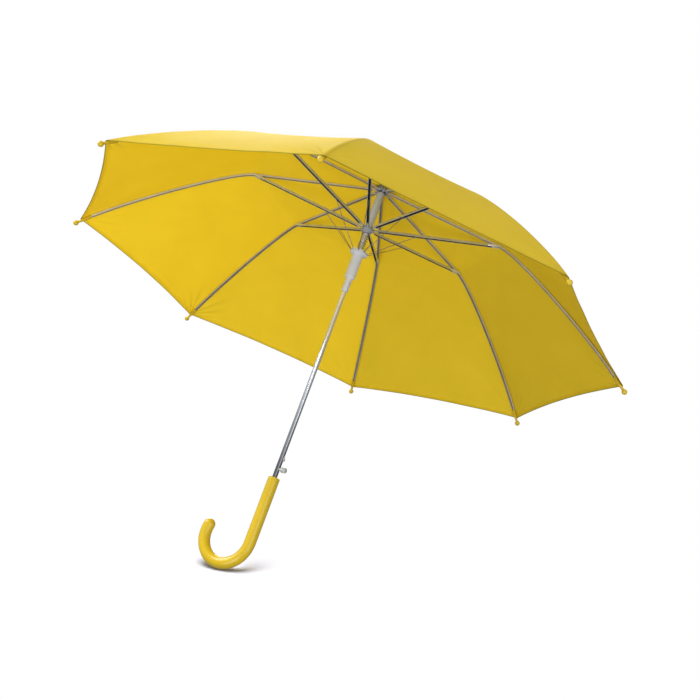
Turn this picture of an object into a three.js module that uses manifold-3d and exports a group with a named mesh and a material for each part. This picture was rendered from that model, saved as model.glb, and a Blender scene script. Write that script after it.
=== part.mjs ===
// Child's automatic stick umbrella, open. Millimetres, +Z up along the shaft, origin at the grip.
// The crook of the handle points to -X and the release button to +X.
// Every rib, stretcher, link and canopy sector is drawn once in the XZ plane and turned about Z.
import * as THREE from 'three';
import { mergeVertices } from 'three/addons/utils/BufferGeometryUtils.js';
import Module from 'manifold-3d';

const wasm = await Module();
wasm.setup();

// ---- driving dimensions ----
const COUNT = 8; // ribs, and so stretchers, links, tips and canopy sectors
const FIRST_AZ = 22.5; // azimuth of rib 1, degrees
const GAP = 0.3; // clearance between neighbouring pieces

const SHAFT_R = 3.5;
const SHAFT_WALL = 0.7;
const SHAFT_LOW = -26;
const SHAFT_HIGH = 552;
const BORE_R = SHAFT_R + GAP; // bore of everything that is on the shaft

const PIVOT_R = 7; // radius of the rib pivots and of the stretcher pivots
const NOTCH_Z = 522; // height of the rib pivots
const LINK = 193; // rib pivot to joint, and joint to stretcher pivot
const OPEN_ANGLE = THREE.MathUtils.degToRad(10.15);
const JOINT_R = PIVOT_R + LINK * Math.cos(OPEN_ANGLE);
const JOINT_Z = NOTCH_Z - LINK * Math.sin(OPEN_ANGLE);
const HUB_Z = NOTCH_Z - 2 * LINK * Math.sin(OPEN_ANGLE);

const RIB_END_R = 412.6; // where the rib runs into its tip
const RIB_END_Z = 341.9;
const END_SLOPE = THREE.MathUtils.degToRad(42.6);
const BEND_PULL = 34; // how far the rib runs on straight past the joint before it bends
const END_PULL = 74; // the same, back from the rib's end
const RIB_W = 4;
const RIB_H = 2.8;
const RIB_WALL = 0.7;
const EYE_R = 1.5;
const EYE_T = 1.6;
const RING_R = 0.45; // wire of the two pivot rings

const TIP_BALL_R = 4.2;
const TIP_BALL_AT = 24.6; // rib end to centre of ball
const TIP_SOCKET = 10;

const STR_W = 4.8;
const STR_H = 3.8;
const STR_WALL = 0.6;
const PRONG_IN = 2.3;
const PRONG_OUT = 3;
const WIRE_AT = 68; // stretcher pivot to link eye
const WIRE_DROP = 1.1; // link eye below the stretcher's middle
const WIRE_R = 0.5;

const FLANGE_DROP = 41; // stretcher pivots down to the runner flange
const FLANGE_R = 13.5;
const LINK_FOOT_R = 12;
const RUNNER_LONG = 66;
const RUNNER_BODY_R = 8;
const RUNNER_SLEEVE_R = 5;

const CLOTH = 1.0; // canopy thickness
const HEM_RISE = 0.017; // scallop of the hem, share of the length
const SAG = 0.008; // hollow of each gore between its ribs, share of the radius
const HEM_END = 1.034; // hem at a rib, where 1 is the rib's end
const CANOPY_IN_R = 4.6;

const HANDLE_TOP = 48;
const HANDLE_R = 8.4;
const BEND_Z = -48;
const BEND_R = 38;
const BEND_END = THREE.MathUtils.degToRad(194);

// ---- small helpers ----
const V = (x, y, z) => new THREE.Vector3(x, y, z);
const flat = (x, y) => new THREE.Vector2(x, y);

function toSolid(geometry) {
  const g = geometry.clone();
  for (const name of ['normal', 'uv', 'uv1']) g.deleteAttribute(name);
  const merged = mergeVertices(g, 1e-5);
  const mesh = new wasm.Mesh({
    numProp: 3,
    vertProperties: Float32Array.from(merged.attributes.position.array),
    triVerts: Uint32Array.from(merged.index.array),
  });
  return new wasm.Manifold(mesh);
}

function fromSolid(solid) {
  const m = solid.getMesh();
  const g = new THREE.BufferGeometry();
  g.setAttribute('position', new THREE.BufferAttribute(Float32Array.from(m.vertProperties), 3));
  g.setIndex(new THREE.BufferAttribute(Uint32Array.from(m.triVerts), 1));
  return g;
}

function carve(base, cuts, joins = []) {
  let s = toSolid(base);
  for (const j of joins) s = s.add(toSolid(j));
  for (const c of cuts) s = s.subtract(toSolid(c));
  return fromSolid(s);
}

function box(x0, x1, y0, y1, z0, z1) {
  const g = new THREE.BoxGeometry(x1 - x0, y1 - y0, z1 - z0);
  return g.translate((x0 + x1) / 2, (y0 + y1) / 2, (z0 + z1) / 2);
}

// a cylinder along Y through (x, z)
function crossPin(radius, half, x, z, sides = 12) {
  return new THREE.CylinderGeometry(radius, radius, 2 * half, sides).translate(x, 0, z);
}

// a turned body about Z, from [radius, height] pairs
function turned(pairs, sides) {
  const points = pairs.map(([r, z]) => flat(r, z));
  return new THREE.LatheGeometry(points, sides).rotateX(Math.PI / 2);
}

// a ring of wire round Z
function ring(radius, wire, z, around = 32, sides = 6) {
  return new THREE.TorusGeometry(radius, wire, sides, around).translate(0, 0, z);
}

// closed skin round a list of equal rings of points, with a cap of the section at both ends
function skin(rings, section) {
  const n = rings[0].length;
  const index = [];
  for (let i = 0; i + 1 < rings.length; i++) {
    for (let j = 0; j < n; j++) {
      const a = i * n + j;
      const b = i * n + ((j + 1) % n);
      index.push(a, b, b + n, a, b + n, a + n);
    }
  }
  const last = (rings.length - 1) * n;
  for (const [a, b, c] of THREE.ShapeUtils.triangulateShape(section, [])) {
    index.push(a, c, b, last + a, last + b, last + c);
  }
  const g = new THREE.BufferGeometry().setFromPoints(rings.flat());
  g.setIndex(index);
  return facingOut(g);
}

function facingOut(g) {
  const p = g.attributes.position;
  const i = g.index.array;
  const at = (k) => V(p.getX(k), p.getY(k), p.getZ(k));
  let volume = 0;
  for (let t = 0; t < i.length; t += 3) volume += at(i[t]).dot(at(i[t + 1]).cross(at(i[t + 2])));
  if (volume < 0) {
    for (let t = 0; t < i.length; t += 3) [i[t + 1], i[t + 2]] = [i[t + 2], i[t + 1]];
  }
  return g;
}

// sweep a section through stations { p, up, scale } that all lie in the XZ plane
function sweep(section, stations) {
  const side = V(0, 1, 0);
  const rings = stations.map(({ p, up, scale }) => section.map(
    (s) => p.clone().addScaledVector(side, s.x * scale).addScaledVector(up, s.y * scale),
  ));
  return skin(rings, section);
}

// channel section, open below
function channel(w, h, wall) {
  const x = w / 2;
  const y = h / 2;
  return [
    flat(-x, -y), flat(wall - x, -y), flat(wall - x, y - wall), flat(x - wall, y - wall),
    flat(x - wall, -y), flat(x, -y), flat(x, y), flat(-x, y),
  ];
}

// ---- the rib's line: straight to the joint, then bending down to its tip ----
const ribStart = V(PIVOT_R, 0, NOTCH_Z);
const ribJoint = V(JOINT_R, 0, JOINT_Z);
const ribEnd = V(RIB_END_R, 0, RIB_END_Z);
const innerDir = ribJoint.clone().sub(ribStart).normalize();
const endDir = V(Math.cos(END_SLOPE), 0, -Math.sin(END_SLOPE));
const outerCurve = new THREE.CubicBezierCurve3(
  ribJoint,
  ribJoint.clone().addScaledVector(innerDir, BEND_PULL),
  ribEnd.clone().addScaledVector(endDir, -END_PULL),
  ribEnd,
);

// point and upward normal at u, from the pivot (0) over the joint (0.42) to the end (1) and beyond
function ribPoint(u) {
  const split = 0.42;
  let p;
  let t;
  if (u <= split) {
    p = ribStart.clone().lerp(ribJoint, u / split);
    t = innerDir.clone();
  } else if (u <= 1) {
    p = outerCurve.getPoint((u - split) / (1 - split));
    t = outerCurve.getTangent((u - split) / (1 - split));
  } else {
    p = ribEnd.clone().addScaledVector(endDir, (u - 1) * 460);
    t = endDir.clone();
  }
  return { p, up: V(-t.z, 0, t.x), scale: 1 };
}

// ---- pieces on the shaft ----
function shaftTube() {
  const inner = SHAFT_R - SHAFT_WALL;
  const tube = turned([
    [inner, SHAFT_LOW], [SHAFT_R, SHAFT_LOW], [SHAFT_R, SHAFT_HIGH], [inner, SHAFT_HIGH],
    [inner, SHAFT_LOW],
  ], 24);
  const toothWindow = box(0.5, 5, -1.1, 1.1, 73.2, 86.6);
  const buttonWindow = new THREE.CylinderGeometry(2.3, 2.3, 5, 16).rotateZ(Math.PI / 2);
  return carve(tube, [toothWindow, buttonWindow.translate(3.6, 0, 61.5)]);
}

function crookHandle() {
  const section = [];
  for (let k = 0; k < 20; k++) {
    const a = (2 * Math.PI * k) / 20;
    section.push(flat(HANDLE_R * Math.cos(a), HANDLE_R * Math.sin(a)));
  }
  const straight = [HANDLE_TOP, HANDLE_TOP - 1].map((z, k) => ({
    p: V(0, 0, z), up: V(1, 0, 0), scale: k ? 1 : 0.94,
  }));
  const bend = [];
  const onBend = (a) => V(BEND_R * (Math.cos(a) - 1), 0, BEND_Z - BEND_R * Math.sin(a));
  for (let k = 0; k <= 20; k++) {
    const a = (BEND_END * k) / 20;
    bend.push({ p: onBend(a), up: V(Math.cos(a), 0, -Math.sin(a)), scale: 1 });
  }
  const up = bend[20].up;
  const onward = V(-Math.sin(BEND_END), 0, -Math.cos(BEND_END));
  for (const a of [0.45, 0.85, 1.2, 1.45]) {
    const p = bend[20].p.clone().addScaledVector(onward, HANDLE_R * Math.sin(a));
    bend.push({ p, up, scale: Math.cos(a) });
  }
  const bore = new THREE.CylinderGeometry(BORE_R, BORE_R, 80, 24).rotateX(Math.PI / 2);
  return carve(sweep(section, [...straight, ...bend]), [bore.translate(0, 0, HANDLE_TOP - 35)]);
}

// flat steel catch inside the tube: a strip with the tooth that stands out of the window
function catchTooth() {
  const s = new THREE.Shape([
    flat(0.4, 57.5), flat(1.4, 57.5), flat(1.4, 74), flat(6, 74), flat(6, 76.2), flat(2.9, 84.5),
    flat(1.4, 86), flat(0.4, 86),
  ]);
  const g = new THREE.ExtrudeGeometry(s, { depth: 1.6, bevelEnabled: false });
  return g.rotateX(Math.PI / 2).translate(0, 0.8, 0);
}

function pushButton() {
  const g = turned([
    [0, 1.7], [2, 1.7], [2, 6.3], [3.5, 6.3], [3.8, 6.8], [3.8, 13.2], [3.2, 14], [0, 14],
  ], 16);
  return g.rotateY(Math.PI / 2).translate(0, 0, 61.5);
}

function runner() {
  const f = HUB_Z - FLANGE_DROP;
  const b = f - RUNNER_LONG;
  const step = f - 43;
  const body = turned([
    [BORE_R, b], [RUNNER_SLEEVE_R, b], [RUNNER_SLEEVE_R, step - 1.5], [5.9, step - 1.2],
    [RUNNER_BODY_R - 0.4, step], [RUNNER_BODY_R, step + 1.5], [RUNNER_BODY_R, f - 7], [9.4, f - 4],
    [FLANGE_R, f - 2.4], [FLANGE_R, f + 1.4], [9.6, f + 1.4], [7.2, f + 2.2], [7.2, f + 3.2],
    [BORE_R, f + 3.2], [BORE_R, b],
  ], 24);
  const cuts = [box(3, 6, -1.4, 1.4, b - 1, b + 16)];
  for (let k = 0; k < COUNT; k++) {
    const slot = box(10, 15, -1.1, 1.1, f - 1.6, f + 4);
    cuts.push(slot.rotateZ(azimuth(k)));
  }
  return carve(body, cuts);
}

// disc with a slot for each arm and a groove for the ring of wire that holds the arms
function pivotDisc(outline, slotLow, slotHigh, ringZ) {
  const cuts = [ring(PIVOT_R, RING_R + 0.4, ringZ)];
  for (let k = 0; k < COUNT; k++) {
    cuts.push(box(5.15, 16, -1.1, 1.1, slotLow, slotHigh).rotateZ(azimuth(k)));
  }
  return carve(turned(outline, 24), cuts);
}

function topNotch() {
  const z = NOTCH_Z;
  return pivotDisc([
    [BORE_R, z - 3.4], [9, z - 3.4], [10, z - 2.4], [10, z + 2.2], [9.2, z + 2.9], [BORE_R, z + 2.9],
    [BORE_R, z - 3.4],
  ], z - 5, z + 1.85, z);
}

function stretcherHub() {
  const z = HUB_Z;
  return pivotDisc([
    [BORE_R, z - 7], [6.4, z - 7], [6.4, z - 4], [8.6, z - 3.2], [9, z - 2.6], [9, z + 2.2],
    [8.4, z + 2.6], [BORE_R, z + 2.6], [BORE_R, z - 7],
  ], z - 1.85, z + 5, z);
}

function runnerSpring() {
  const low = HUB_Z - FLANGE_DROP + 4.1;
  const high = HUB_Z - 7.9;
  const turns = 7;
  class Coil extends THREE.Curve {
    getPoint(t) {
      const a = 2 * Math.PI * turns * t;
      return V(5.3 * Math.cos(a), 5.3 * Math.sin(a), low + (high - low) * t);
    }
  }
  const r = 0.55;
  const section = new THREE.Shape([0, 1, 2, 3, 4, 5].map(
    (k) => flat(r * Math.cos((k * Math.PI) / 3), r * Math.sin((k * Math.PI) / 3)),
  ));
  return new THREE.ExtrudeGeometry(section, { steps: 14 * turns, extrudePath: new Coil() });
}

function stopSleeve() {
  const low = HUB_Z + 2.9;
  const high = NOTCH_Z - 3.7;
  return turned([
    [BORE_R, low], [5.9, low], [5.9, high - 1], [5.4, high], [BORE_R, high], [BORE_R, low],
  ], 20);
}

function canopyCap() {
  const z = NOTCH_Z;
  return turned([
    [BORE_R, z + 7.2], [15.5, z + 4.8], [15.5, z + 5.8], [11, z + 7.9], [6.8, z + 9.2],
    [BORE_R, z + 9.2], [BORE_R, z + 7.2],
  ], 24);
}

function ferrule() {
  const z = NOTCH_Z + 9.5;
  return turned([
    [0, 552.4], [BORE_R, 552.4], [BORE_R, z], [6.6, z], [6.6, z + 2], [5.6, z + 4], [5.1, z + 18],
    [4.3, z + 34], [3.6, z + 38], [1.9, z + 40.4], [0, z + 41],
  ], 20);
}

// ---- pieces repeated round the shaft ----
function rib() {
  const stations = [];
  for (const u of [0.0155, 0.2, 0.42]) stations.push(ribPoint(u));
  for (let k = 1; k <= 13; k++) stations.push(ribPoint(0.42 + (0.58 * k) / 13 - (k === 13 ? 0.012 : 0)));
  stations.push({ ...ribPoint(1), scale: 0.78 }, { ...ribPoint(1 + 9 / 460), scale: 0.78 });
  const bar = sweep(channel(RIB_W, RIB_H, RIB_WALL), stations);
  const neck = box(0, 10.5, -EYE_T / 2, EYE_T / 2, -0.95, 1.1).rotateY(OPEN_ANGLE);
  neck.translate(PIVOT_R, 0, NOTCH_Z);
  const eye = crossPin(EYE_R, EYE_T / 2, PIVOT_R, NOTCH_Z);
  const rivet = crossPin(0.8, PRONG_OUT + 0.35, JOINT_R, JOINT_Z);
  return carve(bar, [crossPin(RING_R + 0.45, 3, PIVOT_R, NOTCH_Z)], [neck, eye, rivet]);
}

function ribTip() {
  const s = TIP_BALL_AT;
  const pairs = [[0, TIP_SOCKET], [1.95, TIP_SOCKET], [1.95, 0], [2.6, 0], [2.6, 12], [1.9, 18]];
  for (const a of [-62, -35, -8, 20, 48, 72]) {
    const w = THREE.MathUtils.degToRad(a);
    pairs.push([TIP_BALL_R * Math.cos(w), s + TIP_BALL_R * Math.sin(w)]);
  }
  pairs.push([0, s + TIP_BALL_R]);
  const g = turned(pairs, 12);
  return g.rotateY(Math.PI / 2 + END_SLOPE).translate(RIB_END_R, 0, RIB_END_Z);
}

// drawn along +X from the stretcher pivot, then tilted into place
function stretcher() {
  const half = STR_W / 2;
  const stations = [9, LINK - 10.5].map((x) => ({ p: V(x, 0, 0), up: V(0, 0, 1), scale: 1 }));
  const bar = sweep(channel(STR_W, STR_H, STR_WALL), stations);
  const neck = box(0, 12, -EYE_T / 2, EYE_T / 2, -0.9, 1.5);
  const joins = [neck, crossPin(EYE_R, EYE_T / 2, 0, 0)];
  joins.push(box(9, 11, -half, half, -1.4, 1.6));
  joins.push(crossPin(0.45, half - 0.2, WIRE_AT, -WIRE_DROP, 8));
  for (const side of [-1, 1]) {
    const y0 = side > 0 ? PRONG_IN : -PRONG_OUT;
    const y1 = side > 0 ? PRONG_OUT : -PRONG_IN;
    joins.push(box(LINK - 17, LINK, y0, y1, -STR_H / 2, 1.5));
    const end = new THREE.CylinderGeometry(2.1, 2.1, PRONG_OUT - PRONG_IN, 12);
    joins.push(end.translate(LINK, (y0 + y1) / 2, 0));
  }
  const cuts = [crossPin(RING_R + 0.45, 3, 0, 0), crossPin(1.1, 4, LINK, 0)];
  return carve(bar, cuts, joins).rotateY(-OPEN_ANGLE).translate(PIVOT_R, 0, HUB_Z);
}

// link from its eye in the stretcher down to its foot in the runner's flange
function linkWire() {
  const eyeX = PIVOT_R + WIRE_AT * Math.cos(OPEN_ANGLE) + WIRE_DROP * Math.sin(OPEN_ANGLE);
  const eyeZ = HUB_Z + WIRE_AT * Math.sin(OPEN_ANGLE) - WIRE_DROP * Math.cos(OPEN_ANGLE);
  const foot = V(LINK_FOOT_R, 0, HUB_Z - FLANGE_DROP);
  const along = foot.clone().sub(V(eyeX, 0, eyeZ)).normalize();
  const path = new THREE.CurvePath();
  const start = V(eyeX, 0, eyeZ).addScaledVector(along, 1.35);
  const bend = foot.clone().addScaledVector(along, -2.2);
  path.add(new THREE.LineCurve3(start, bend));
  path.add(new THREE.QuadraticBezierCurve3(bend, foot, foot.clone().add(V(-1.1, 0, -0.5))));
  const section = [0, 1, 2, 3, 4, 5].map(
    (k) => flat(WIRE_R * Math.cos((k * Math.PI) / 3), WIRE_R * Math.sin((k * Math.PI) / 3)),
  );
  const stations = [0, 0.5, 0.66, 0.83, 1].map((t) => {
    const d = path.getTangent(t);
    return { p: path.getPoint(t), up: V(-d.z, 0, d.x), scale: 1 };
  });
  const eye = new THREE.TorusGeometry(1.35, WIRE_R, 6, 12).rotateX(Math.PI / 2);
  return carve(sweep(section, stations), [], [eye.translate(eyeX, 0, eyeZ)]);
}

// the cloth round one rib: half of each gore beside it, joined along the rib's seam
function canopySector() {
  const half = Math.PI / COUNT;
  const smooth = (a, b, x) => THREE.MathUtils.smoothstep(x, a, b);
  const rows = [-0.012, 0.003, 0.03, 0.09, 0.2, 0.32];
  for (let k = 0; k <= 9; k++) rows.push(0.42 + ((HEM_END - 0.42) * k) / 9);
  const cols = [-1, -0.66, -0.33, 0, 0.33, 0.66, 1];
  const point = (row, v, lift) => {
    const w = Math.abs(v);
    const round = 1 - (1 - w) ** 2;
    const u = row > 0.42 ? row - HEM_RISE * round * ((row - 0.42) / (HEM_END - 0.42)) ** 2 : row;
    const { p, up } = ribPoint(u);
    const hollow = SAG * p.x * round * smooth(20, 120, p.x);
    const off = 2.7 + 0.4 * smooth(0.5, 1, u) + 2 * (1 - smooth(11, 30, p.x)) + lift - hollow;
    const q = p.clone().addScaledVector(up, off);
    const r = Math.max(q.x, CANOPY_IN_R);
    const width = r * Math.cos(half) * Math.sin(half);
    const s = w * (1 - 0.2 / width);
    return V(r * (1 - s * Math.sin(half) ** 2), Math.sign(v) * s * width, q.z);
  };
  const n = cols.length;
  const layer = (lift) => rows.flatMap((row) => cols.map((v) => point(row, v, lift)));
  const points = [...layer(0), ...layer(CLOTH)];
  const top = rows.length * n;
  const index = [];
  const quad = (a, b, c, d) => index.push(a, b, c, a, c, d);
  for (let i = 0; i + 1 < rows.length; i++) {
    for (let j = 0; j + 1 < n; j++) {
      const a = i * n + j;
      quad(a, a + n, a + n + 1, a + 1);
      quad(top + a, top + a + 1, top + a + n + 1, top + a + n);
    }
    const l = i * n;
    const r = l + n - 1;
    quad(l, top + l, top + l + n, l + n);
    quad(r, r + n, top + r + n, top + r);
  }
  const e = (rows.length - 1) * n;
  for (let j = 0; j + 1 < n; j++) {
    quad(j, j + 1, top + j + 1, top + j);
    quad(e + j, top + e + j, top + e + j + 1, e + j + 1);
  }
  const g = new THREE.BufferGeometry().setFromPoints(points);
  g.setIndex(index);
  return facingOut(g);
}

// ---- assembly ----
function azimuth(k) {
  return THREE.MathUtils.degToRad(FIRST_AZ + (360 / COUNT) * k);
}

const group = new THREE.Group();

function paint(color, metalness, roughness) {
  return new THREE.MeshStandardMaterial({ color, metalness, roughness });
}

function place(name, geometry, material) {
  const mesh = new THREE.Mesh(geometry, material);
  mesh.name = name;
  group.add(mesh);
}

const steel = paint(0xb9bcc0, 1, 0.25);
const darkSteel = paint(0x6f6c66, 1, 0.35);
const ribSteel = paint(0x9a9488, 0.9, 0.45);
const greyPlastic = paint(0xb4b6b8, 0, 0.45);
const yellowPlastic = paint(0xe2bd26, 0, 0.3);
const cloth = paint(0xe0b92a, 0, 0.8);
const clear = paint(0xdfe4e4, 0, 0.2);

place('shaft_tube', shaftTube(), steel);
place('crook_handle', crookHandle(), yellowPlastic);
place('catch_tooth', catchTooth(), darkSteel);
place('push_button', pushButton(), clear);
place('runner', runner(), greyPlastic);
place('stretcher_hub', stretcherHub(), greyPlastic);
place('runner_spring', runnerSpring(), steel);
place('stop_sleeve', stopSleeve(), greyPlastic);
place('top_notch', topNotch(), greyPlastic);
place('notch_ring', ring(PIVOT_R, RING_R, NOTCH_Z), steel);
place('hub_ring', ring(PIVOT_R, RING_R, HUB_Z), steel);
place('canopy_cap', canopyCap(), yellowPlastic);
place('ferrule', ferrule(), yellowPlastic);

const repeated = [
  ['rib', rib(), ribSteel],
  ['rib_tip', ribTip(), yellowPlastic],
  ['stretcher', stretcher(), darkSteel],
  ['link_wire', linkWire(), darkSteel],
  ['canopy', canopySector(), cloth],
];
for (const [name, geometry, material] of repeated) {
  for (let k = 0; k < COUNT; k++) {
    place(`${name}_${k + 1}`, geometry.clone().rotateZ(azimuth(k)), material);
  }
}

export default group;
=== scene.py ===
"""Child's stick umbrella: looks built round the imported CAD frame. Metres, +Z up the shaft.

The CAD sizes that the cloth and the crook follow are in millimetres, as in the CAD."""

import math
import random

import bmesh
import bpy
import numpy as np
from mathutils import Matrix, Vector


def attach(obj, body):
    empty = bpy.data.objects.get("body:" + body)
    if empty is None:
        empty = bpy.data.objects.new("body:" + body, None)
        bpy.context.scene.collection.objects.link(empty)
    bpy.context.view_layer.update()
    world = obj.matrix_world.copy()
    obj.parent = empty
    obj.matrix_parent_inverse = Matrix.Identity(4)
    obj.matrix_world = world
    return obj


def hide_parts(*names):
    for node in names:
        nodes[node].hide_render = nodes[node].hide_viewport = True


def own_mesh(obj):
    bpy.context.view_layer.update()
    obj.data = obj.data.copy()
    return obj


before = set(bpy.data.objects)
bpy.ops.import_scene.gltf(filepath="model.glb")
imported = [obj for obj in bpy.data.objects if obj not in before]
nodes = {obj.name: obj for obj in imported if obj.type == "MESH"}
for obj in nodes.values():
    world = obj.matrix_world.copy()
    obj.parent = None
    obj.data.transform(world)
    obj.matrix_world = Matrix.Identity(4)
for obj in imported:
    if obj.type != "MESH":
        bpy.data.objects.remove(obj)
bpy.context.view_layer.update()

MM = 0.001
COUNT = 8
SECTOR = math.radians(360 / COUNT)
FIRST = SECTOR / 2

# ---- the rib's line, as in the CAD: straight to the joint, then one Bezier to the tip ----
NOTCH_Z = 522.0
PIVOT = np.array([7.0, NOTCH_Z])
OPEN = math.radians(10.15)
LINK = 193.0
RIB_END = np.array([412.6, 341.9])
END_SLOPE = math.radians(42.6)
BEND_PULL = 34.0
END_PULL = 74.0
RIB_LENGTH = 460.0
SPLIT = 0.42

INNER_DIR = np.array([math.cos(OPEN), -math.sin(OPEN)])
END_DIR = np.array([math.cos(END_SLOPE), -math.sin(END_SLOPE)])
JOINT = PIVOT + LINK * INNER_DIR
BEZIER = [JOINT, JOINT + BEND_PULL * INNER_DIR, RIB_END - END_PULL * END_DIR, RIB_END]
HUB_Z = NOTCH_Z - 2 * LINK * math.sin(OPEN)


def azimuth(k):
    return FIRST + SECTOR * k


def rib_line(u):
    """Point and upward normal of the rib, in its own plane (radius, height), in mm.
    u is 0 at the pivot, SPLIT at the joint and 1 at the rib's end."""
    if u <= SPLIT:
        return PIVOT + (JOINT - PIVOT) * u / SPLIT, np.array([-INNER_DIR[1], INNER_DIR[0]])
    if u > 1:
        past = (u - 1) * RIB_LENGTH
        return RIB_END + END_DIR * past, np.array([-END_DIR[1], END_DIR[0]])
    t = (u - SPLIT) / (1 - SPLIT)
    a, b, c, d = BEZIER
    p = (1 - t) ** 3 * a + 3 * (1 - t) ** 2 * t * b + 3 * (1 - t) * t * t * c + t ** 3 * d
    v = 3 * (1 - t) ** 2 * (b - a) + 6 * (1 - t) * t * (c - b) + 3 * t * t * (d - c)
    v = v / np.linalg.norm(v)
    return p, np.array([-v[1], v[0]])


def smooth(a, b, x):
    t = min(1.0, max(0.0, (x - a) / (b - a)))
    return t * t * (3 - 2 * t)


# ---- camera: below the hem, looking up into the canopy, and rolled ----
CAM_POS = Vector((0.8375, -1.3019, -0.2309))
CAM_AZIMUTH = math.radians(-58.648)
CAM_ELEVATION = math.radians(-17.726)
CAM_ROLL = math.radians(20.179)
CAM_LENS = 57.02
CAM_SENSOR = 36.0


def camera_axes():
    """The camera's right, up and backward directions."""
    back = Vector((math.cos(CAM_ELEVATION) * math.cos(CAM_AZIMUTH),
                   math.cos(CAM_ELEVATION) * math.sin(CAM_AZIMUTH),
                   math.sin(CAM_ELEVATION)))
    level = Vector((0, 0, 1)).cross(back).normalized()
    right = Matrix.Rotation(CAM_ROLL, 3, back) @ level
    return right, back.cross(right), back


CAM_RIGHT, CAM_UP, CAM_BACK = camera_axes()


def place(name, data):
    """A new object in the scene."""
    o = bpy.data.objects.new(name, data)
    bpy.context.scene.collection.objects.link(o)
    return o


def add_camera():
    data = bpy.data.cameras.new("camera")
    data.sensor_width = CAM_SENSOR
    data.lens = CAM_LENS
    camera = place("camera", data)
    turn = Matrix((CAM_RIGHT, CAM_UP, CAM_BACK)).transposed()
    camera.matrix_world = Matrix.Translation(CAM_POS) @ turn.to_4x4()
    bpy.context.scene.camera = camera
    bpy.context.scene.view_settings.view_transform = "Standard"


add_camera()


# ---- node helpers ----
WEAR_RADIUS = 0.0006


class Nodes:
    """Short ways to add and join the nodes of one tree."""

    def __init__(self, tree):
        self.tree = tree

    def node(self, kind, **values):
        n = self.tree.nodes.new(kind)
        for key, value in values.items():
            setattr(n, key, value)
        return n

    def link(self, a, b):
        self.tree.links.new(a, b)

    def feed(self, value, socket):
        """value is another node's socket, a colour or a number."""
        if isinstance(value, bpy.types.NodeSocket):
            self.link(value, socket)
        elif isinstance(value, tuple):
            socket.default_value = (*value, 1)
        else:
            socket.default_value = value

    def math(self, op, *values):
        n = self.node("ShaderNodeMath", operation=op)
        for i, value in enumerate(values):
            self.feed(value, n.inputs[i])
        return n.outputs[0]

    def add(self, a, b):
        return self.math("ADD", a, b)

    def times(self, a, b):
        return self.math("MULTIPLY", a, b)

    def coords(self):
        if not hasattr(self, "object_coords"):
            self.object_coords = self.node("ShaderNodeTexCoord").outputs["Object"]
        return self.object_coords

    def scaled(self, x, y, z, vector=None):
        n = self.node("ShaderNodeMapping")
        n.inputs["Scale"].default_value = (x, y, z)
        self.link(vector or self.coords(), n.inputs["Vector"])
        return n.outputs["Vector"]

    def noise(self, scale, detail=3, vector=None):
        n = self.node("ShaderNodeTexNoise")
        n.inputs["Scale"].default_value = scale
        n.inputs["Detail"].default_value = detail
        self.link(vector or self.coords(), n.inputs["Vector"])
        return n.outputs["Fac"]

    def ramp(self, fac, stops):
        n = self.node("ShaderNodeValToRGB")
        elements = n.color_ramp.elements
        while len(elements) < len(stops):
            elements.new(0.5)
        for element, (position, color) in zip(elements, stops):
            element.position = position
            element.color = (*color, 1)
        self.link(fac, n.inputs["Fac"])
        return n.outputs["Color"]

    def to_range(self, fac, low, high, at_low=0.0, at_high=1.0):
        """low to high as fac goes from at_low to at_high."""
        n = self.node("ShaderNodeMapRange")
        for i, value in enumerate((at_low, at_high, low, high), 1):
            n.inputs[i].default_value = value
        self.link(fac, n.inputs[0])
        return n.outputs[0]

    def mix_color(self, fac, a, b, blend="MIX"):
        n = self.node("ShaderNodeMix", data_type="RGBA", blend_type=blend)
        for value, socket in ((fac, 0), (a, 6), (b, 7)):
            self.feed(value, n.inputs[socket])
        return n.outputs[2]

    def mix_shader(self, fac, a, b):
        n = self.node("ShaderNodeMixShader")
        for i, value in enumerate((fac, a, b)):
            self.feed(value, n.inputs[i])
        return n.outputs[0]


class Mat(Nodes):
    """One node material."""

    def __init__(self, name):
        self.material = bpy.data.materials.new(name)
        self.material.use_nodes = True
        super().__init__(self.material.node_tree)
        self.bsdf = self.tree.nodes["Principled BSDF"]
        self.out = self.tree.nodes["Material Output"]

    def set(self, **values):
        for key, value in values.items():
            self.bsdf.inputs[key.replace("_", " ")].default_value = value

    def base(self, color):
        self.link(color, self.bsdf.inputs["Base Color"])

    def roughness(self, fac, low, high):
        """low to high over the middle of a noise."""
        self.link(self.to_range(fac, low, high, 0.3, 0.7), self.bsdf.inputs["Roughness"])

    def bump(self, height, strength, distance):
        n = self.node("ShaderNodeBump")
        n.inputs["Strength"].default_value = strength
        n.inputs["Distance"].default_value = distance
        self.link(height, n.inputs["Height"])
        self.link(n.outputs["Normal"], self.bsdf.inputs["Normal"])
        return n.outputs["Normal"]

    def edge(self):
        """0 on flats to 1 on worn edges."""
        n = self.node("ShaderNodeBevel", samples=4)
        n.inputs["Radius"].default_value = WEAR_RADIUS
        g = self.node("ShaderNodeNewGeometry")
        d = self.node("ShaderNodeVectorMath", operation="DOT_PRODUCT")
        self.link(n.outputs[0], d.inputs[0])
        self.link(g.outputs["Normal"], d.inputs[1])
        return self.to_range(d.outputs["Value"], 1.0, 0.0, 0.75, 0.98)


# ---- metals and plastics ----
def metal(name, dark, light, rough, grain_scale, metallic=1.0, streak=(1, 1, 1)):
    """Fine grain over larger patches, which also vary the gloss."""
    m = Mat(name)
    grain = m.noise(grain_scale, 5, m.scaled(*streak))
    patches = m.noise(35)
    tone = m.add(m.times(grain, 0.5), m.times(patches, 0.5))
    m.base(m.ramp(tone, [(0.3, dark), (0.7, light)]))
    m.set(Metallic=metallic)
    m.roughness(patches, rough * 0.75, rough * 1.35)
    m.bump(grain, 0.12, 0.00005)
    return m.material


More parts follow.
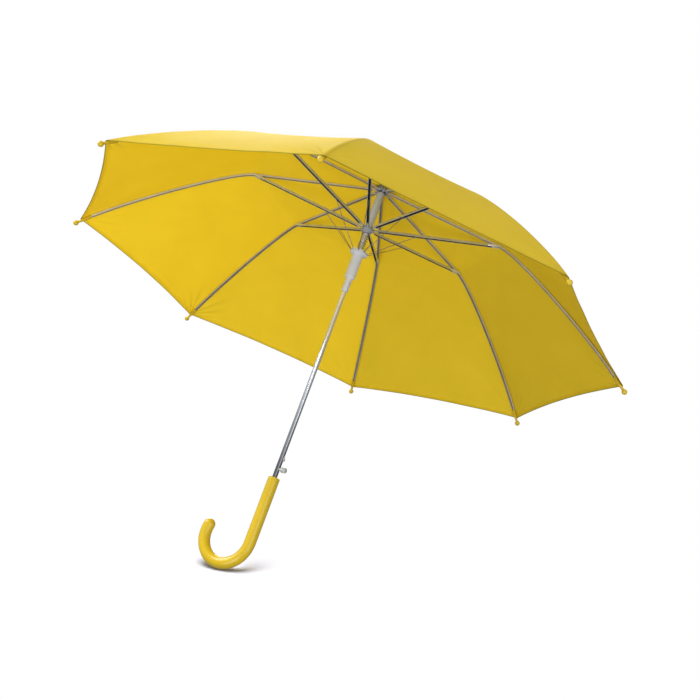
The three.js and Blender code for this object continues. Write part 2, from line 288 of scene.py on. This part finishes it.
def shaft_chrome():
    """Drawn chrome tube, duller and darker towards the hand: painted shade there and a painted
    reflection towards the top.
    """
    m = Mat("shaft_chrome")
    grain = m.noise(900, 5, m.scaled(1, 1, 0.02))
    wipe = m.noise(22)
    split = m.node("ShaderNodeSeparateXYZ")
    m.link(m.coords(), split.inputs[0])
    height = m.add(split.outputs[2], m.times(wipe, 0.04))
    painted_light_up_shaft = m.to_range(height, 0.0, 1.0, 0.06, 0.36)
    tone = m.add(m.times(painted_light_up_shaft, 0.85), m.times(grain, 0.15))
    # painted shade and painted reflection: the colour runs from near black at the hand to pale at the
    # top
    m.base(m.ramp(tone, [(0.05, (0.07, 0.072, 0.078)), (0.95, (0.68, 0.72, 0.80))]))
    m.set(Metallic=0.7)
    m.roughness(wipe, 0.14, 0.24)
    m.bump(grain, 0.12, 0.00005)
    return m.material


def plastic(name, low, high, rough, shine=0.5, wear=None):
    """Moulded plastic; wear is the colour that its edges are rubbed to."""
    m = Mat(name)
    base = m.ramp(m.noise(18), [(0.3, low), (0.7, high)])
    if wear:
        rubbed = m.to_range(m.noise(90, 4), 0.0, 0.6, 0.45, 0.62)
        base = m.mix_color(m.times(m.edge(), rubbed), base, wear)
    m.base(base)
    m.roughness(m.noise(55, 4), rough * 0.8, rough * 1.25)
    m.set(Specular_IOR_Level=shine)
    m.bump(m.noise(600, 4), 0.25, 0.00004)
    return m.material


def clear_plastic():
    m = Mat("clear_plastic")
    m.base(m.ramp(m.noise(60), [(0.3, (0.42, 0.46, 0.45)), (0.7, (0.60, 0.64, 0.62))]))
    m.set(IOR=1.49, Coat_Weight=0.3, Transmission_Weight=0.35)
    m.roughness(m.noise(80), 0.16, 0.3)
    m.bump(m.noise(400), 0.15, 0.00003)
    return m.material


# ---- cloth ----
TRANSLUCENT = 0.5
THREAD_STEP = 0.00042
STITCH_STEP = 0.0032
STITCH_WIDTH = 0.00035
HEM_STITCH = 0.0042
HEM_STEP = 0.0053
SEAM_STITCH = 0.0022


def cloth_material():
    """Thin woven polyester. UV map 'cloth' holds metres across and along the sector,
    UV map 'edges' metres from the hem and from the seam."""
    m = Mat("canopy_cloth")

    def uv(name):
        uv_map = m.node("ShaderNodeUVMap", uv_map=name)
        split = m.node("ShaderNodeSeparateXYZ")
        m.link(uv_map.outputs[0], split.inputs[0])
        return uv_map.outputs[0], split.outputs[0], split.outputs[1]

    cloth, across, along = uv("cloth")
    _, hem, seam = uv("edges")

    def wave(position, step):
        return m.math("SINE", m.times(position, 2 * math.pi / step))

    def stitches(distance, where, position):
        line = m.math("COMPARE", distance, where, STITCH_WIDTH)
        return m.times(line, m.math("GREATER_THAN", wave(position, STITCH_STEP), -0.35))

    warp = wave(across, THREAD_STEP)
    weft = wave(along, THREAD_STEP)
    weave = m.add(m.times(m.times(warp, weft), 0.5), m.times(m.add(warp, weft), 0.25))
    slubs = m.noise(1, 4, m.scaled(900, 40, 1, cloth))
    blotch = m.noise(1, 3, m.scaled(14, 14, 1, cloth))
    # hem stitching runs across, seam stitching runs along
    thread = m.math("MAXIMUM", stitches(hem, HEM_STITCH, across), stitches(seam, SEAM_STITCH, along))

    # tension creases that fan out of each corner, stronger at some corners than at others; they go
    # into the bump and into the painted shade below
    fan = m.math("ARCTAN2", seam, m.math("MAXIMUM", hem, 0.00001))
    from_corner = m.math("SQRT", m.add(m.times(hem, hem), m.times(seam, seam)))
    uneven = m.to_range(m.noise(9, 2), 0.15, 1.0, 0.40, 0.60)

    def crease(angle, width, length):
        off = m.math("DIVIDE", m.math("SUBTRACT", fan, angle), width)
        line = m.math("EXPONENT", m.times(m.times(off, off), -1.0))
        fade = m.to_range(from_corner, 1.0, 0.0, 0.006, length)
        return m.times(m.times(line, fade), uneven)

    steep = m.math("MAXIMUM", crease(1.22, 0.05, 0.048), crease(0.80, 0.07, 0.060))
    creases = m.add(steep, crease(0.42, 0.06, 0.075))

    # painted shade: a little darker at the hem's rim, along the seam, on the hem, between threads and
    # in creases
    rim = m.to_range(hem, 0.45, 1.0, 0.0004, 0.0022)
    near_seam = m.to_range(seam, 0.93, 1.0, 0.0, 0.006)
    on_hem = m.math("LESS_THAN", hem, HEM_STEP)
    shade = m.times(m.times(rim, near_seam), m.math("SUBTRACT", 1.0, m.times(on_hem, 0.03)))
    shade = m.times(shade, m.add(0.985, m.times(weave, 0.02)))
    shade = m.times(shade, m.math("SUBTRACT", 1.0, m.times(creases, 0.20)))
    grey = m.node("ShaderNodeCombineColor")
    for i in range(3):
        m.link(shade, grey.inputs[i])

    dye = m.ramp(m.add(m.times(blotch, 0.7), m.times(slubs, 0.3)),
                 [(0.30, (0.825, 0.655, 0.041)), (0.70, (0.865, 0.695, 0.047))])
    shaded = m.mix_color(1.0, dye, grey.outputs[0], "MULTIPLY")
    color = m.mix_color(thread, shaded, (0.70, 0.48, 0.012))
    m.base(color)
    m.roughness(slubs, 0.40, 0.52)
    m.set(Specular_IOR_Level=0.06)
    height = m.add(m.add(m.times(weave, 0.25), thread), m.times(creases, 9.0))
    normal = m.bump(height, 0.35, 0.00009)
    through = m.node("ShaderNodeBsdfTranslucent")
    m.link(color, through.inputs["Color"])
    m.link(normal, through.inputs["Normal"])
    m.link(m.mix_shader(TRANSLUCENT, m.bsdf.outputs[0], through.outputs[0]), m.out.inputs["Surface"])
    return m.material


MATS = {
    "chrome": shaft_chrome(),
    "rib": metal("rib_paint", (0.50, 0.49, 0.46), (0.64, 0.63, 0.59), 0.42, 260, 0.3),
    "stretcher": metal("stretcher_steel", (0.46, 0.50, 0.58), (0.64, 0.69, 0.78), 0.24, 260, 0.75),
    "fork": metal("fork_steel", (0.58, 0.61, 0.66), (0.74, 0.77, 0.82), 0.35, 300, 0.5),
    # near black inside the stretchers' channels: painted shade
    "inside": metal("channel_painted_shade", (0.016, 0.016, 0.016), (0.04, 0.04, 0.04), 0.55, 200, 0.4),
    # darker grey inside the ribs' channels: painted shade
    "rib_channel_painted_shade": metal("rib_channel_painted_shade", (0.20, 0.195, 0.18), (0.32, 0.31, 0.285), 0.50, 200, 0.3),
    "wire": metal("bright_wire", (0.50, 0.51, 0.52), (0.68, 0.69, 0.70), 0.28, 400, 0.8),
    "link": metal("link_wire_steel", (0.13, 0.135, 0.15), (0.26, 0.27, 0.30), 0.30, 400, 0.7),
    "catch": metal("catch_steel", (0.35, 0.35, 0.36), (0.55, 0.55, 0.56), 0.3, 500,
                   streak=(1, 1, 0.1)),
    "yellow": plastic("yellow_plastic", (0.50, 0.345, 0.010), (0.54, 0.375, 0.013), 0.22, 0.32),
    "grey": plastic("grey_plastic", (0.50, 0.54, 0.62), (0.57, 0.61, 0.69), 0.42,
                    wear=(0.70, 0.73, 0.80)),
    "hub": plastic("hub_plastic", (0.24, 0.27, 0.33), (0.31, 0.34, 0.41), 0.40),
    "sleeve": plastic("sleeve_plastic", (0.40, 0.47, 0.64), (0.48, 0.55, 0.72), 0.40),
    "clear": clear_plastic(),
    "cloth": cloth_material(),
}


# ---- mesh helpers ----
def add_object(name, mesh, material, body, replaced):
    o = place(name, mesh)
    mesh.materials.append(MATS[material])
    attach(o, body)
    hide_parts(replaced)
    return o


def refine(node, name, material, body, bevel, angle=32, segments=2, zones=None):
    """A finer copy of a CAD solid: facets merged, edges softened, round faces smooth.
    zones is (azimuth, rule, materials); the rule gives 0 or the place of another material."""
    bm = bmesh.new()
    bm.from_mesh(nodes[node].data)
    bmesh.ops.remove_doubles(bm, verts=bm.verts, dist=2e-6)
    bmesh.ops.dissolve_limit(bm, angle_limit=math.radians(0.6), verts=bm.verts, edges=bm.edges,
                             delimit={"NORMAL"})
    around, rule, extras = zones or (0, None, ())
    turn = Matrix.Rotation(-around, 3, "Z")
    for f in bm.faces:
        f.smooth = True
        if rule:
            f.normal_update()
            f.material_index = rule(turn @ f.calc_center_median() / MM, turn @ f.normal)
    mesh = bpy.data.meshes.new(name)
    bm.to_mesh(mesh)
    bm.free()
    o = add_object(name, mesh, material, body, node)
    for extra in extras:
        mesh.materials.append(MATS[extra])
    if bevel:
        edges = o.modifiers.new("edges", "BEVEL")
        edges.width = bevel
        edges.segments = segments
        edges.limit_method = "ANGLE"
        edges.angle_limit = math.radians(angle)
        edges.harden_normals = True
        edges.use_clamp_overlap = True
    else:
        mesh.set_sharp_from_angle(angle=math.radians(angle))


def tube_mesh(name, rings):
    """A smooth closed mesh through rings of points."""
    n = len(rings[0])
    verts = [tuple(p) for ring in rings for p in ring]
    faces = []
    for i in range(len(rings) - 1):
        for j in range(n):
            a, b = i * n + j, i * n + (j + 1) % n
            faces.append((a, b, b + n, a + n))
    faces.append(tuple(reversed(range(n))))
    faces.append(tuple(range((len(rings) - 1) * n, len(rings) * n)))
    mesh = bpy.data.meshes.new(name)
    mesh.from_pydata(verts, [], faces)
    bm = bmesh.new()
    bm.from_mesh(mesh)
    bmesh.ops.recalc_face_normals(bm, faces=bm.faces)
    for f in bm.faces:
        f.smooth = True
    bm.to_mesh(mesh)
    bm.free()
    return mesh


# ---- canopy: one sector of cloth round each rib, half a gore each side of the seam ----
HALF = SECTOR / 2
HEM_RISE = 0.017      # how far the hem lifts at mid-gore, as a share of the rib's line
HEM_END = 1.036       # where the hem is at the seam
HEM_FOLD = 5.0
HEM_UNDER = 0.38      # the turned-in cloth below the hem
CLOTH_T = 0.35
INNER_R = 4.7         # the cloth's hole round the shaft
SAG = 0.008           # how far a gore sinks between its ribs, as a share of the radius
GAP = 2.1             # cloth over the rib's line
JOINT_GAP = 1.0       # more over the rivet, and how far along that reaches
JOINT_REACH = 11.0
OUTER_GAP = 1.3
CAP_GAP = 2.6
PUCKER = 0.16
GATHER = 0.55
SLACK = 0.35
SEAM_DIP = 0.35
SEAM_COLUMNS = [0.0, 0.7, 1.6, 3.0, 5.0]
OPEN_COLUMNS = 15
SIDE_COLUMNS = len(SEAM_COLUMNS) + OPEN_COLUMNS
INNER_ROWS = 14
OUTER_ROWS = 30
FULL_WIDTH = 40.0     # narrower than this, the columns at the seam are squeezed together
SEED = 40


def cloth_rows():
    """Places along the rib's line, closer together at the cap and the hem, and which row is the
    first on the folded hem."""
    near_cap = 0.05
    step = HEM_END - (HEM_FOLD + 0.4) / RIB_LENGTH
    rows = [-0.012, 0.0, 0.012, 0.03, near_cap]
    rows += [near_cap + (SPLIT - near_cap) * i / INNER_ROWS for i in range(1, INNER_ROWS + 1)]
    rows += [SPLIT + (step - 0.012 - SPLIT) * i / OUTER_ROWS for i in range(1, OUTER_ROWS + 1)]
    rows += [step] + [step + mm / RIB_LENGTH for mm in (0.6, 2.4)]
    rows += [HEM_END - mm / RIB_LENGTH for mm in (1.4, 0.5, 0)]
    return rows, rows.index(step) + 1


def columns(width):
    """Distances out from the seam, to the mid-gore line at width."""
    squeeze = min(1.0, width / FULL_WIDTH)
    inner = [d * squeeze for d in SEAM_COLUMNS]
    rest = width - inner[-1]
    return inner + [inner[-1] + rest * i / OPEN_COLUMNS for i in range(1, OPEN_COLUMNS + 1)]


def across_sector(radius, column):
    """Distance out from the seam, and the same as a share of the half gore's width."""
    width = radius * math.cos(HALF) * math.sin(HALF)
    out = columns(width)[column]
    return out, out / width


def cloth_point(row, column, side, lift, phase, amount):
    """A point of the cloth, in mm with x towards the rib's end, and how far it is from the seam."""
    share = 0.0
    # the hem's rise and the sag depend on the share across, and that depends on the radius
    for _ in range(2):
        between = 1 - (1 - share) ** 2
        u = row
        if row > SPLIT:
            u -= HEM_RISE * between * ((row - SPLIT) / (HEM_END - SPLIT)) ** 2
        on_rib, normal = rib_line(u)
        along = u * LINK / SPLIT
        gap = GAP + JOINT_GAP * math.exp(-((along - LINK) / JOINT_REACH) ** 2)
        gap += OUTER_GAP * smooth(0.45, 0.8, u) + CAP_GAP * (1 - smooth(11, 30, on_rib[0]))
        gap -= SAG * on_rib[0] * between * smooth(20, 120, on_rib[0])
        radius = max((on_rib + normal * gap)[0], INNER_R)
        out, share = across_sector(radius, column)
    # small folds: puckers along the seam, gathers fanning from the corner, slack near the hem
    pucker = PUCKER * math.exp(-out / 9) * (1 - math.exp(-out / 1.2))
    pucker *= math.sin(along / 3.1 + phase[0])
    from_hem = (HEM_END - u) * RIB_LENGTH
    corner = math.hypot(from_hem, out)
    fan = math.atan2(out, max(1e-3, from_hem))
    gather = amount[0] * GATHER * math.exp(-corner / 70) * smooth(6, 26, corner)
    gather *= math.sin(fan * 13 + phase[1]) * smooth(0, 4, out)
    free = 1 - smooth(0.0, 1.0, abs(share - 0.5) * 2)
    slack = amount[1] * SLACK * free * smooth(0.75, 1.0, u)
    slack *= math.sin(share * 9 + phase[2 + (side > 0)])
    dip = -SEAM_DIP * math.exp(-(out / 1.1) ** 2) * smooth(0.03, 0.1, u)
    folds = smooth(0, 0.02, u) * (pucker + gather + slack + dip)
    q = on_rib + normal * (gap + lift + folds)
    radius = max(q[0], INNER_R)
    out, share = across_sector(radius, column)
    return (radius * (1 - share * math.sin(HALF) ** 2), side * out, q[1]), out


def sheet_faces(wide, deep):
    """Faces of a closed sheet: its underside, its top in a second layer, and the rims."""
    top = wide * deep
    faces = []
    for i in range(deep - 1):
        for j in range(wide - 1):
            a = i * wide + j
            faces.append((a, a + wide, a + wide + 1, a + 1))
            faces.append((top + a, top + a + 1, top + a + wide + 1, top + a + wide))
        a, b = i * wide, i * wide + wide - 1
        faces.append((a, top + a, top + a + wide, a + wide))
        faces.append((b, b + wide, top + b + wide, top + b))
    end = (deep - 1) * wide
    for j in range(wide - 1):
        faces.append((j, j + 1, top + j + 1, top + j))
        faces.append((end + j, top + end + j, top + end + j + 1, end + j + 1))
    return faces


def cloth_sector(k):
    rows, first_on_hem = cloth_rows()
    draw = random.Random(SEED + k)
    # the folds take the first four phases
    phase = [draw.uniform(0, 6.28) for _ in range(6)]
    amount = [draw.uniform(0.6, 1.2) for _ in range(2)]

    def lift(i, layer):
        """The layers' distances from the cloth's line: a thick hem that closes round its rim."""
        to_end = len(rows) - 1 - i
        if to_end == 0:
            return 0.16 if layer else -0.16
        if to_end == 1:
            return CLOTH_T - 0.05 if layer else 0.06 - HEM_UNDER
        if layer:
            return CLOTH_T
        return -HEM_UNDER if i >= first_on_hem else 0.0

    cols = [(c, -1) for c in range(SIDE_COLUMNS - 1, 0, -1)] + [(c, 1) for c in range(SIDE_COLUMNS)]
    verts, maps = [], []
    turn = Matrix.Rotation(azimuth(k), 3, "Z")
    for layer in (0, 1):
        for i, row in enumerate(rows):
            for column, side in cols:
                p, out = cloth_point(row, column, side, lift(i, layer), phase, amount)
                verts.append(tuple(turn @ Vector(p) * MM))
                if layer == 0:
                    maps.append((side * out, row * RIB_LENGTH, (HEM_END - row) * RIB_LENGTH, out))
    mesh = bpy.data.meshes.new(f"canopy_cloth_{k + 1}")
    mesh.from_pydata(verts, [], sheet_faces(len(cols), len(rows)))
    cloth_uv = mesh.uv_layers.new(name="cloth")
    edge_uv = mesh.uv_layers.new(name="edges")
    for loop in mesh.loops:
        across, along, hem, seam = maps[loop.vertex_index % len(maps)]
        cloth_uv.data[loop.index].uv = (across * MM, along * MM)
        edge_uv.data[loop.index].uv = (hem * MM, seam * MM)
    for p in mesh.polygons:
        p.use_smooth = True
    mesh.validate()
    # rims and the step of the hem stay crisp
    mesh.set_sharp_from_angle(angle=math.radians(50))
    return mesh


for k in range(COUNT):
    o = add_object(f"canopy_cloth_{k + 1}", cloth_sector(k), "cloth", f"rib_{k + 1}",
                   f"canopy_{k + 1}")
    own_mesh(o)

# ---- metal and plastic pieces, from their CAD solids ----
RIB_W = 4.0
STRETCHER_W = 4.8
WALL = 0.3
FORK_AT = LINK - 17.5
RIB_CHANNEL_FROM = 18.0
STRETCHER_CHANNEL_FROM = 12.0
FACES_UP = 0.3        # a face whose normal is higher than this is on the outside of the channel


def rib_zone(p, n):
    """1 in the channel, which is open below and takes the painted shade."""
    in_channel = abs(p.y) < RIB_W / 2 - WALL and n.z < FACES_UP
    return 1 if in_channel and p.x > RIB_CHANNEL_FROM else 0


def stretcher_zone(p, n):
    """2 on the fork at the rib, 1 in the channel, which takes the painted shade."""
    along = math.hypot(p.x - PIVOT[0], p.z - HUB_Z)
    if along > FORK_AT:
        return 2
    in_channel = abs(p.y) < STRETCHER_W / 2 - WALL and n.z < FACES_UP
    return 1 if in_channel and along > STRETCHER_CHANNEL_FROM else 0


for i in range(1, COUNT + 1):
    refine(f"rib_{i}", f"rib_channel_{i}", "rib", f"rib_{i}", 0.00018,
           zones=(azimuth(i - 1), rib_zone, ["rib_channel_painted_shade"]))
    refine(f"rib_tip_{i}", f"ball_tip_{i}", "yellow", f"rib_{i}", 0, angle=50)
    refine(f"stretcher_{i}", f"stretcher_channel_{i}", "stretcher",
           f"stretcher_{i}", 0.00015,
           zones=(azimuth(i - 1), stretcher_zone, ["inside", "fork"]))
    refine(f"link_wire_{i}", f"link_{i}", "link", f"link_wire_{i}", 0, angle=60)

refine("shaft_tube", "shaft", "chrome", "shaft", 0.00012)
refine("catch_tooth", "catch_strip", "catch", "catch", 0.00015)
refine("push_button", "button", "clear", "catch", 0.0003, segments=3)
refine("runner", "runner_body", "grey", "runner", 0.0003, segments=3)
refine("stretcher_hub", "hub_disc", "hub", "hub", 0.0002)
refine("hub_ring", "hub_ring_wire", "link", "hub", 0, angle=60)
refine("notch_ring", "notch_ring_wire", "wire", "shaft", 0, angle=60)
refine("top_notch", "notch_disc", "hub", "shaft", 0.0002)
refine("stop_sleeve", "sleeve", "sleeve", "shaft", 0.0003, segments=3)
refine("runner_spring", "spring", "link", "hub", 0, angle=60)
refine("canopy_cap", "cap_disc", "yellow", "shaft", 0.0003, segments=3)
refine("ferrule", "ferrule_end", "yellow", "shaft", 0.0003, segments=3)

# ---- the crook: one smooth round bar with a bore for the shaft ----
HANDLE_TOP = 48.0
HANDLE_R = 8.4
TOP_ROUND = 1.2
BORE_R = 3.8
BORE_LOW = -27.0
BORE_LIP = 0.3
BEND_Z = -48.0
BEND_R = 38.0
BEND_END = math.radians(194)
CROOK_SIDES = 56


def crook_stations():
    """x, z, turn and radius of each ring: up the bore, over the top, down and round the bend."""
    shoulder = HANDLE_TOP - TOP_ROUND
    bore_top = HANDLE_TOP - BORE_LIP
    stations = [(0, BORE_LOW, 0, BORE_R), (0, BORE_LOW + 1, 0, BORE_R)]
    stations += [(0, BORE_LOW + (bore_top - BORE_LOW) * i / 6, 0, BORE_R) for i in range(1, 7)]
    stations += [(0, HANDLE_TOP, 0, BORE_R + BORE_LIP), (0, HANDLE_TOP, 0, HANDLE_R - TOP_ROUND)]
    for i in range(1, 6):
        a = math.pi / 2 * i / 5
        stations.append((0, shoulder + TOP_ROUND * math.cos(a), 0,
                         HANDLE_R - TOP_ROUND * (1 - math.sin(a))))
    stations += [(0, shoulder - (shoulder - BEND_Z) * i / 16, 0, HANDLE_R) for i in range(1, 16)]
    for i in range(61):
        a = BEND_END * i / 60
        stations.append((BEND_R * (math.cos(a) - 1), BEND_Z - BEND_R * math.sin(a), a, HANDLE_R))
    x, z, a, _ = stations[-1]
    for i in range(1, 14):
        e = math.pi / 2 * i / 13.4
        past = HANDLE_R * math.sin(e)
        stations.append((x - math.sin(a) * past, z - math.cos(a) * past, a, HANDLE_R * math.cos(e)))
    return stations


def crook_mesh():
    rings = []
    for x, z, a, r in crook_stations():
        ring = []
        for j in range(CROOK_SIDES):
            q = 2 * math.pi * j / CROOK_SIDES
            ring.append(Vector((x + r * math.cos(q) * math.cos(a), r * math.sin(q),
                                z - r * math.cos(q) * math.sin(a))) * MM)
        rings.append(ring)
    mesh = tube_mesh("crook", rings)
    mesh.set_sharp_from_angle(angle=math.radians(40))
    return mesh


crook = add_object("crook", crook_mesh(), "yellow", "shaft", "crook_handle")

# ---- floor: a small pale patch under the crook ----
FLOOR_TILT = math.radians(9)
FLOOR_HALF = 0.2
FLOOR_GAP = 0.0006
floor_up = (math.cos(FLOOR_TILT) * CAM_UP + math.sin(FLOOR_TILT) * CAM_BACK).normalized()


def floor_material():
    """Pale floor that fades out round the crook, so only the contact shadow is caught."""
    m = Mat("floor_pale")
    m.base(m.ramp(m.noise(4), [(0.3, (0.45, 0.465, 0.53)), (0.7, (0.48, 0.495, 0.56))]))
    m.set(Roughness=0.6)
    reach = m.node("ShaderNodeVectorMath", operation="LENGTH")
    m.link(m.coords(), reach.inputs[0])
    behind = m.node("ShaderNodeNewGeometry").outputs["Backfacing"]
    gone = m.math("MAXIMUM", behind, m.to_range(reach.outputs["Value"], 0.0, 1.0, 0.045, 0.15))
    clear = m.node("ShaderNodeBsdfTransparent")
    m.link(m.mix_shader(gone, m.bsdf.outputs[0], clear.outputs[0]), m.out.inputs["Surface"])
    return m.material


def add_floor():
    points = [crook.matrix_world @ v.co for v in crook.data.vertices]
    lowest = min(points, key=lambda p: p.dot(floor_up))
    across = floor_up.cross(CAM_BACK).normalized() * FLOOR_HALF
    deep = floor_up.cross(across)
    mesh = bpy.data.meshes.new("floor")
    mesh.from_pydata([tuple(across * a + deep * b) for a, b in ((-1, -1), (1, -1), (1, 1), (-1, 1))],
                     [], [(0, 1, 2, 3)])
    mesh.materials.append(floor_material())
    o = place("floor", mesh)
    o.location = lowest - floor_up * FLOOR_GAP
    # it takes the shadow but throws no light back up
    o.visible_diffuse = False
    o.visible_glossy = False
    o.visible_transmission = False
    return o


floor = add_floor()


# ---- background: white to the camera, soft grey light to the object ----
def add_world():
    world = bpy.data.worlds.new("studio")
    bpy.context.scene.world = world
    world.use_nodes = True
    w = Nodes(world.node_tree)
    seen = world.node_tree.nodes["Background"]
    seen.inputs["Color"].default_value = (1, 1, 1, 1)
    height = w.node("ShaderNodeVectorMath", operation="DOT_PRODUCT")
    height.inputs[1].default_value = tuple(floor_up)
    w.link(w.node("ShaderNodeTexCoord").outputs["Generated"], height.inputs[0])
    grey = w.ramp(w.to_range(height.outputs["Value"], 0.0, 1.0, -1.0, 1.0),
                  [(0.30, (0.34, 0.34, 0.35)), (0.5, (0.22, 0.22, 0.23)), (0.85, (0.85, 0.85, 0.86))])
    ambient = w.node("ShaderNodeBackground")
    w.link(grey, ambient.inputs["Color"])
    to_camera = w.node("ShaderNodeLightPath").outputs["Is Camera Ray"]
    w.link(w.mix_shader(to_camera, ambient.outputs[0], seen.outputs[0]),
           world.node_tree.nodes["World Output"].inputs["Surface"])


add_world()


# ---- lights ----
def area_light(name, offset, size, power, target=Vector((0, 0, 0.35))):
    """offset is from the target, in camera axes: right, up, towards the camera."""
    data = bpy.data.lights.new(name, "AREA")
    data.shape = "RECTANGLE"
    data.size, data.size_y = size
    data.energy = power
    o = place(name, data)
    o.visible_camera = False
    o.location = target + CAM_RIGHT * offset[0] + CAM_UP * offset[1] + CAM_BACK * offset[2]
    o.rotation_mode = "QUATERNION"
    o.rotation_quaternion = (target - o.location).to_track_quat("-Z", "Y")
    return o


def light_group(name, obj):
    """A collection of one object, for light linking."""
    group = bpy.data.collections.new(name)
    group.objects.link(obj)
    return group


# the floor is out of the studio lights' reach, so the canopy throws no shadow on it
no_floor = light_group("no_floor", floor)
no_floor.collection_objects[0].light_linking.link_state = "EXCLUDE"
for lamp in (area_light("key", (-1.7, 1.8, -0.2), (1.5, 1.5), 71),
             area_light("rim", (-0.2, 0.6, -2.1), (0.9, 0.9), 16, Vector((0, -0.3, 0.42))),
             area_light("fill", (0.9, -0.2, 2.2), (1.8, 1.8), 31),
             area_light("low", (-1.2, -0.7, 1.9), (1.4, 1.0), 25)):
    lamp.light_linking.receiver_collection = no_floor

# a softbox that only the shaft takes, for the bright line down the chrome
strip = area_light("shaft_line", (-0.5, 1.45, 1.6), (0.5, 0.9), 26, Vector((0, 0, 0.2)))
shaft_only = light_group("shaft_only", bpy.data.objects["shaft"])
strip.light_linking.receiver_collection = shaft_only
strip.light_linking.blocker_collection = shaft_only

# soft light from above that only the floor takes and only the crook blocks: the contact shadow
SKY_POWER = 6.0
SKY_WIDTH = math.radians(46)
sky = bpy.data.lights.new("over_floor", "SUN")
sky.energy = SKY_POWER
sky.angle = SKY_WIDTH
over = place("over_floor", sky)
over.rotation_mode = "QUATERNION"
over.rotation_quaternion = floor_up.to_track_quat("Z", "Y")
over.light_linking.receiver_collection = light_group("floor_takes", floor)
over.light_linking.blocker_collection = light_group("crook_blocks", crook)
